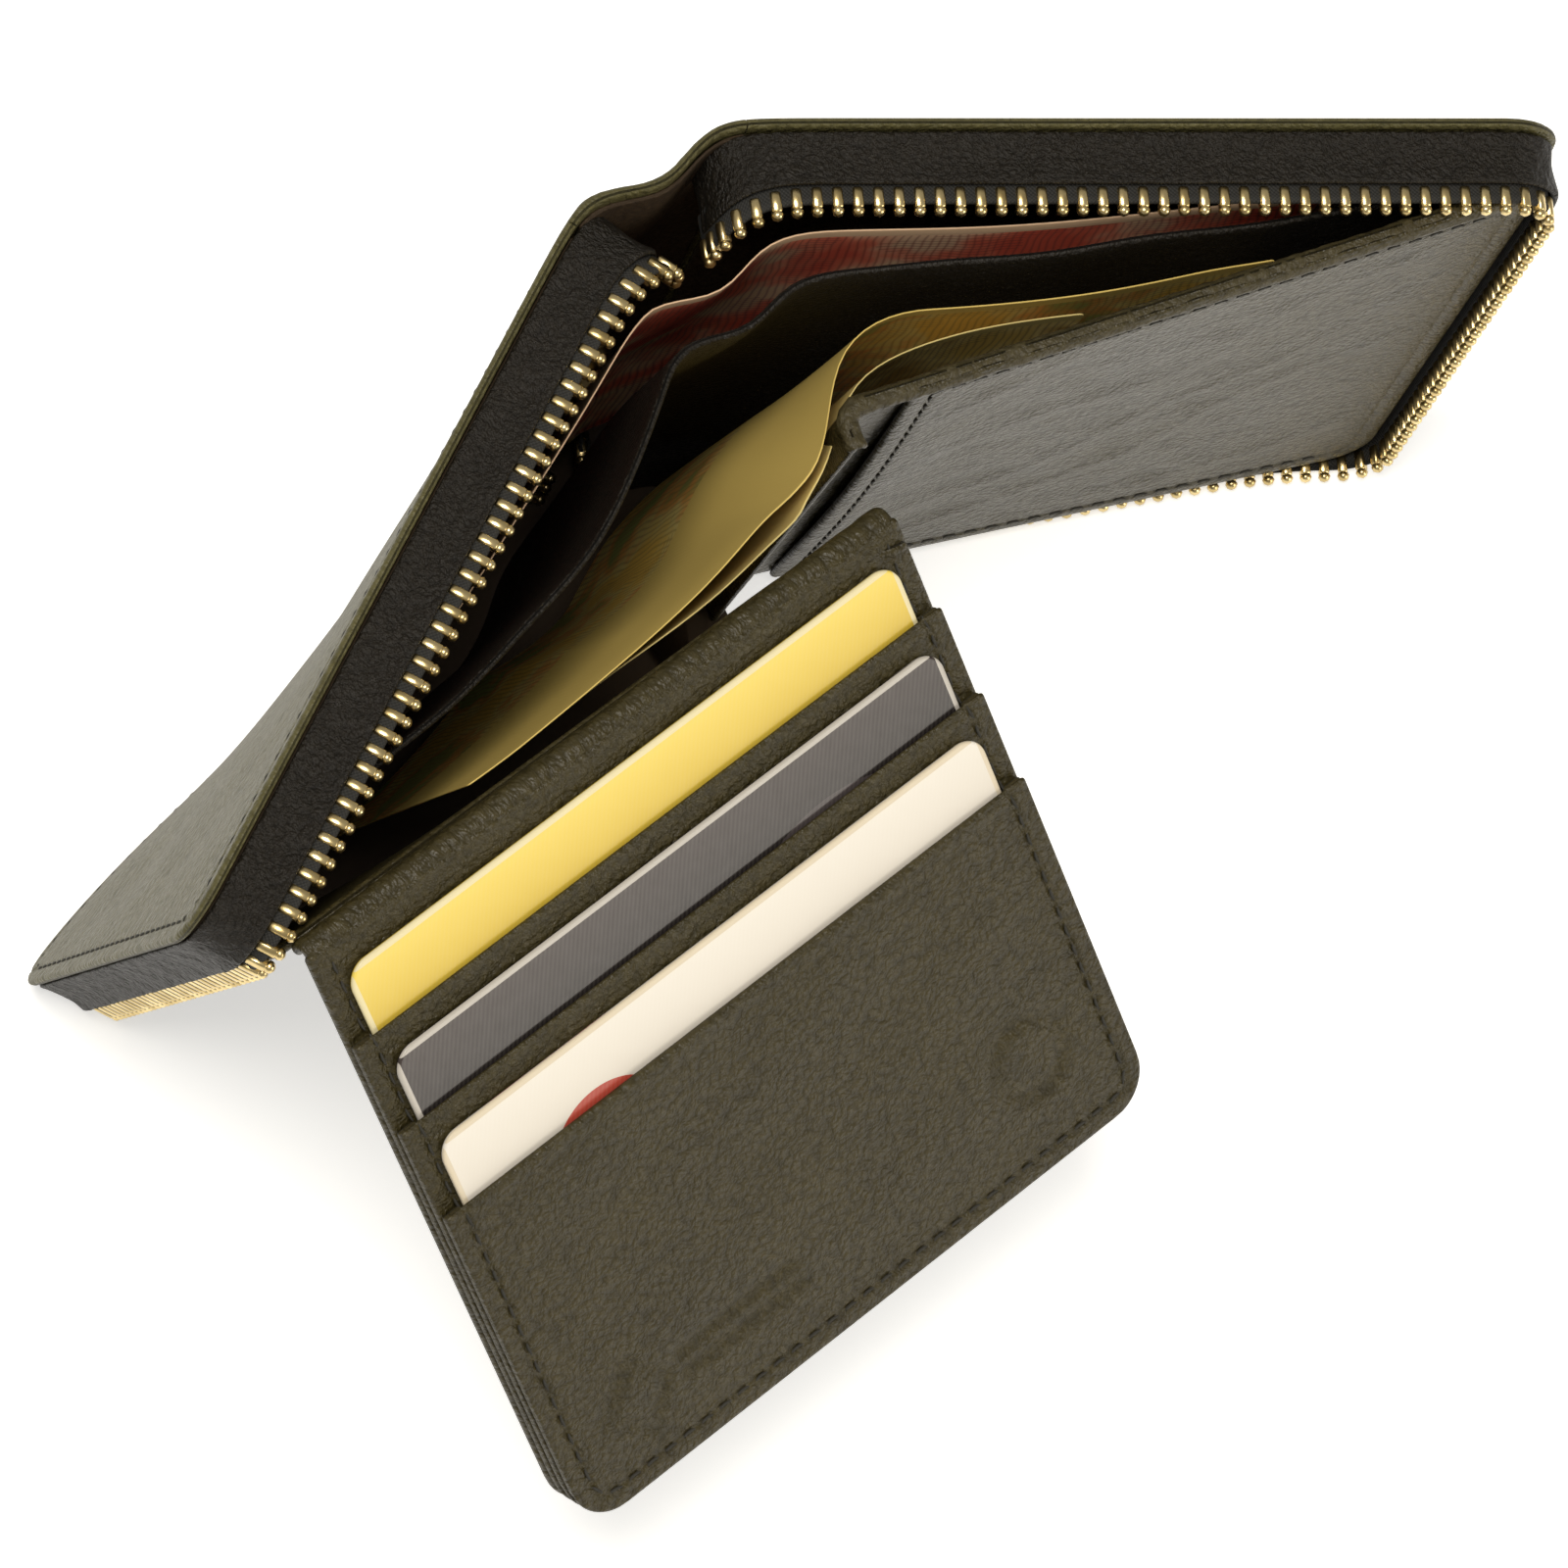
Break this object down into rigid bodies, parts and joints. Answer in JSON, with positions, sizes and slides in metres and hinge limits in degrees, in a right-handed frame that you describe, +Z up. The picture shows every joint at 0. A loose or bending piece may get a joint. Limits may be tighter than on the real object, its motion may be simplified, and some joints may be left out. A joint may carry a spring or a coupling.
{
  "type": "zip around wallet",
  "caption": "Leather bifold wallet with a metal zip round three sides, standing open, with a hinged card flap, slip pocket, note compartments, cards and notes.",
  "frame": {"origin": "centre of the bounding box at the surface that the wallet stands on", "axes": "+Z up, along the spine; +X along the right cover towards its free end; -Y towards the open side of the right cover"},
  "size_m": [0.1768, 0.157, 0.096],
  "materials": {
    "outer_leather": "grained olive-black cowhide, soft satin",
    "inner_leather": "grained olive-black cowhide, soft satin",
    "lining_leather": "thin dark lining leather, matte",
    "gusset_leather": "soft black leather, matte",
    "zip_tape": "woven tape, matte",
    "zip_metal": "pale antique brass, polished",
    "card_yellow": "printed card, satin",
    "card_grey": "printed card, gloss",
    "card_white": "printed card, satin",
    "note_red": "printed polymer film, matte",
    "note_gold": "printed polymer film, matte"
  },
  "bodies": {
    "right_half": {"right_cover": "outer_leather", "right_lining": "lining_leather", "right_gusset": "gusset_leather", "right_zip_tape": "zip_tape", "right_zip_teeth": "zip_metal", "right_top_stop": "zip_metal", "spine_cover": "outer_leather", "spine_lining": "lining_leather", "zip_tail_tape": "zip_tape", "zip_tail_teeth": "zip_metal", "zip_bottom_stop": "zip_metal", "note_divider": "gusset_leather", "rear_note": "note_red", "front_note": "note_gold", "inner_note": "note_gold"},
    "left_half": {"left_cover": "outer_leather", "left_lining": "lining_leather", "left_gusset": "gusset_leather", "left_zip_tape": "zip_tape", "left_zip_teeth": "zip_metal", "left_top_stop": "zip_metal"},
    "right_pocket": {"right_pocket_back": "lining_leather", "right_pocket_face": "inner_leather", "right_pocket_piping": "inner_leather", "inner_spine_strip": "inner_leather"},
    "left_panel": {"left_panel_face": "inner_leather", "left_panel_back": "lining_leather", "left_panel_edge": "inner_leather"},
    "card_flap": {"flap_back": "lining_leather", "flap_base": "inner_leather", "card_slot_top": "inner_leather", "card_slot_middle": "inner_leather", "card_slot_front": "inner_leather"},
    "card_top": {"card_top": "card_yellow"},
    "card_middle": {"card_middle": "card_grey"},
    "card_front": {"card_front": "card_white"},
    "slider": {"slider_body": "zip_metal", "slider_bridge": "zip_metal"},
    "pull_tab": {"pull_tab": "zip_metal"}
  },
  "joints": [
    {"name": "cover_fold", "type": "hinge", "parent": "right_half", "child": "left_half", "pos_m": [-0.02254, 0.06649, 0], "axis": [0, 0, -1], "range_deg": [-45, 12], "deforming": ["spine_cover", "spine_lining", "note_divider", "rear_note", "front_note", "inner_note"]},
    {"name": "right_pocket_swing", "type": "hinge", "parent": "right_half", "child": "right_pocket", "pos_m": [0.08479, 0.07099, 0], "axis": [0, 0, 1], "range_deg": [-12, 3.3]},
    {"name": "left_panel_swing", "type": "hinge", "parent": "left_half", "child": "left_panel", "pos_m": [-0.07724, -0.02586, 0], "axis": [0, 0, -1], "range_deg": [-13, 3.6]},
    {"name": "flap_hinge", "type": "hinge", "parent": "left_panel", "child": "card_flap", "pos_m": [-0.07648, -0.02691, 0.0935], "axis": [-0.809, -0.5878, 0], "range_deg": [-46, 74]},
    {"name": "card_top_slide", "type": "slide", "parent": "card_flap", "child": "card_top", "axis": [0.4228, -0.582, -0.6947], "range_m": [-0.04, 0]},
    {"name": "card_middle_slide", "type": "slide", "parent": "card_flap", "child": "card_middle", "axis": [0.4228, -0.582, -0.6947], "range_m": [-0.04, 0]},
    {"name": "card_front_slide", "type": "slide", "parent": "card_flap", "child": "card_front", "axis": [0.4228, -0.582, -0.6947], "range_m": [-0.04, 0]},
    {"name": "slider_travel", "type": "slide", "parent": "right_half", "child": "slider", "axis": [0, 0, -1], "range_m": [0, 0.01]},
    {"name": "pull_tab_swing", "type": "hinge", "parent": "slider", "child": "pull_tab", "pos_m": [-0.02376, 0.06842, 0.03285], "axis": [-0.866, -0.5, 0], "range_deg": [0, 60]}
  ],
  "couplings": [
    {"joint": "right_pocket_swing", "follows": "cover_fold", "ratio": 0.26},
    {"joint": "left_panel_swing", "follows": "cover_fold", "ratio": 0.28}
  ]
}
